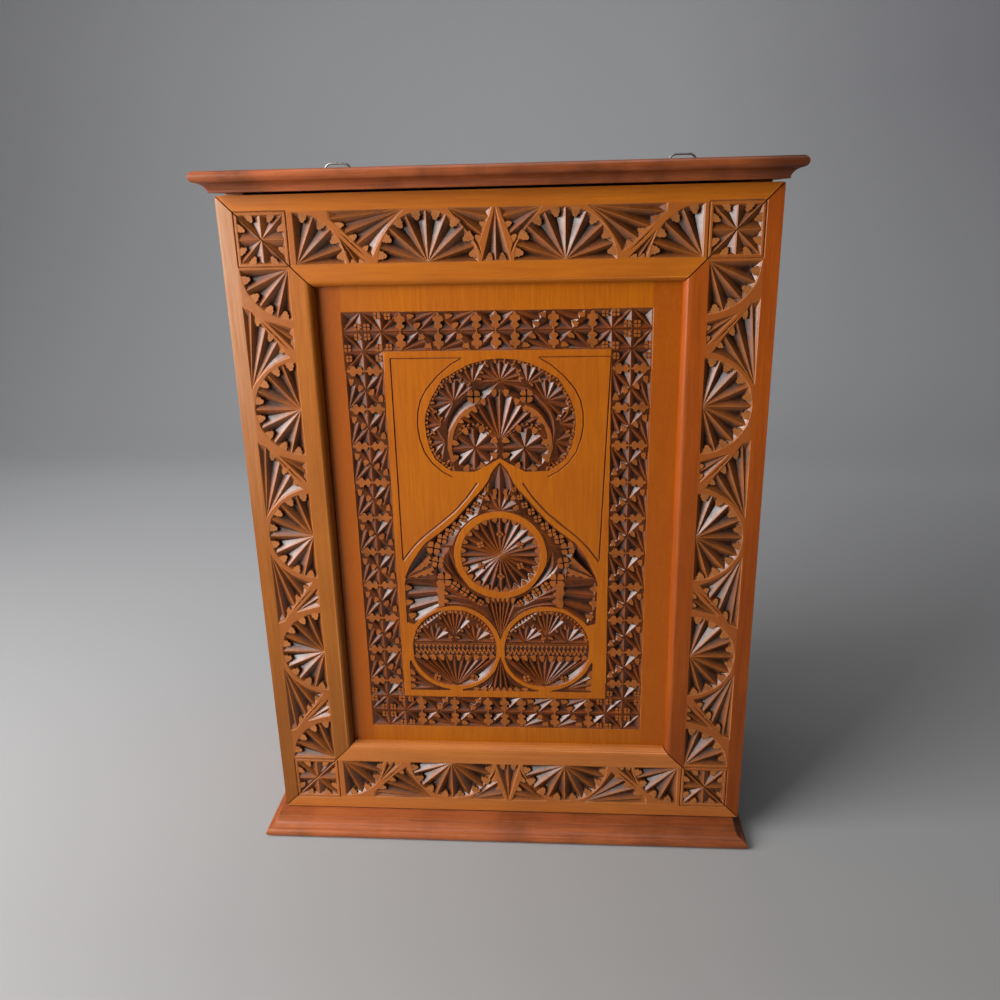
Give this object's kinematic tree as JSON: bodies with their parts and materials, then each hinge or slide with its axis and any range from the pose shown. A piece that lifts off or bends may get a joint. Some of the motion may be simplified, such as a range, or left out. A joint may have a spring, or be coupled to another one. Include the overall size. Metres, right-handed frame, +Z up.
{
  "type": "wall cabinet",
  "caption": "Shallow hanging cabinet with a mitred and carved panel door hinged on the left, moulded top and base boards, an inner shelf and wire hanging loops.",
  "frame": {"origin": "centre of the footprint on the surface that the base board stands on", "axes": "+X to the right seen from the front, +Y from the door to the back, +Z up"},
  "size_m": [0.402, 0.1868, 0.5369],
  "materials": {
    "honey_wood": "glossy varnish",
    "reddish_wood": "glossy varnish",
    "case_wood": "satin varnish",
    "aged_brass": "dull",
    "wire_steel": "dull",
    "nail_steel": "dull"
  },
  "bodies": {
    "case": {"cornice_board": "reddish_wood", "base_board": "reddish_wood", "left_side": "case_wood", "right_side": "case_wood", "back_board_left": "case_wood", "back_board_middle": "case_wood", "back_board_right": "case_wood", "hanging_rail": "case_wood", "shelf": "case_wood", "shelf_batten_left": "case_wood", "shelf_batten_right": "case_wood", "cornice_nails": "nail_steel", "base_nails": "nail_steel", "back_nails": "nail_steel", "side_nails": "nail_steel", "upper_hinge_case_leaf": "aged_brass", "upper_hinge_pin": "aged_brass", "lower_hinge_case_leaf": "aged_brass", "lower_hinge_pin": "aged_brass", "hinge_case_screws": "aged_brass", "catch_spring": "aged_brass", "catch_screws": "aged_brass", "hanger_plate_left": "aged_brass", "hanger_plate_right": "aged_brass", "hanger_screws": "aged_brass"},
    "door": {"left_stile": "honey_wood", "right_stile": "honey_wood", "top_rail": "honey_wood", "bottom_rail": "honey_wood", "mitre_keys": "honey_wood", "panel": "honey_wood", "panel_slip_left": "case_wood", "panel_slip_right": "case_wood", "panel_slip_top": "case_wood", "panel_slip_bottom": "case_wood", "slip_brads": "nail_steel", "upper_hinge_door_leaf": "aged_brass", "lower_hinge_door_leaf": "aged_brass", "hinge_door_screws": "aged_brass", "catch_striker": "aged_brass", "striker_screws": "aged_brass"},
    "left_loop": {"hanging_loop_left": "wire_steel"},
    "right_loop": {"hanging_loop_right": "wire_steel"}
  },
  "joints": [
    {"name": "door_hinge", "type": "hinge", "parent": "case", "child": "door", "pos_m": [-0.191, -0.052, 0.265], "axis": [0, 0, -1], "range_deg": [0, 175]},
    {"name": "left_loop_pivot", "type": "hinge", "parent": "case", "child": "left_loop", "pos_m": [-0.141, 0.0914, 0.5194], "axis": [-1, 0, 0], "range_deg": [0, 125]},
    {"name": "right_loop_pivot", "type": "hinge", "parent": "case", "child": "right_loop", "pos_m": [0.145, 0.0914, 0.5194], "axis": [-1, 0, 0], "range_deg": [0, 125]}
  ]
}
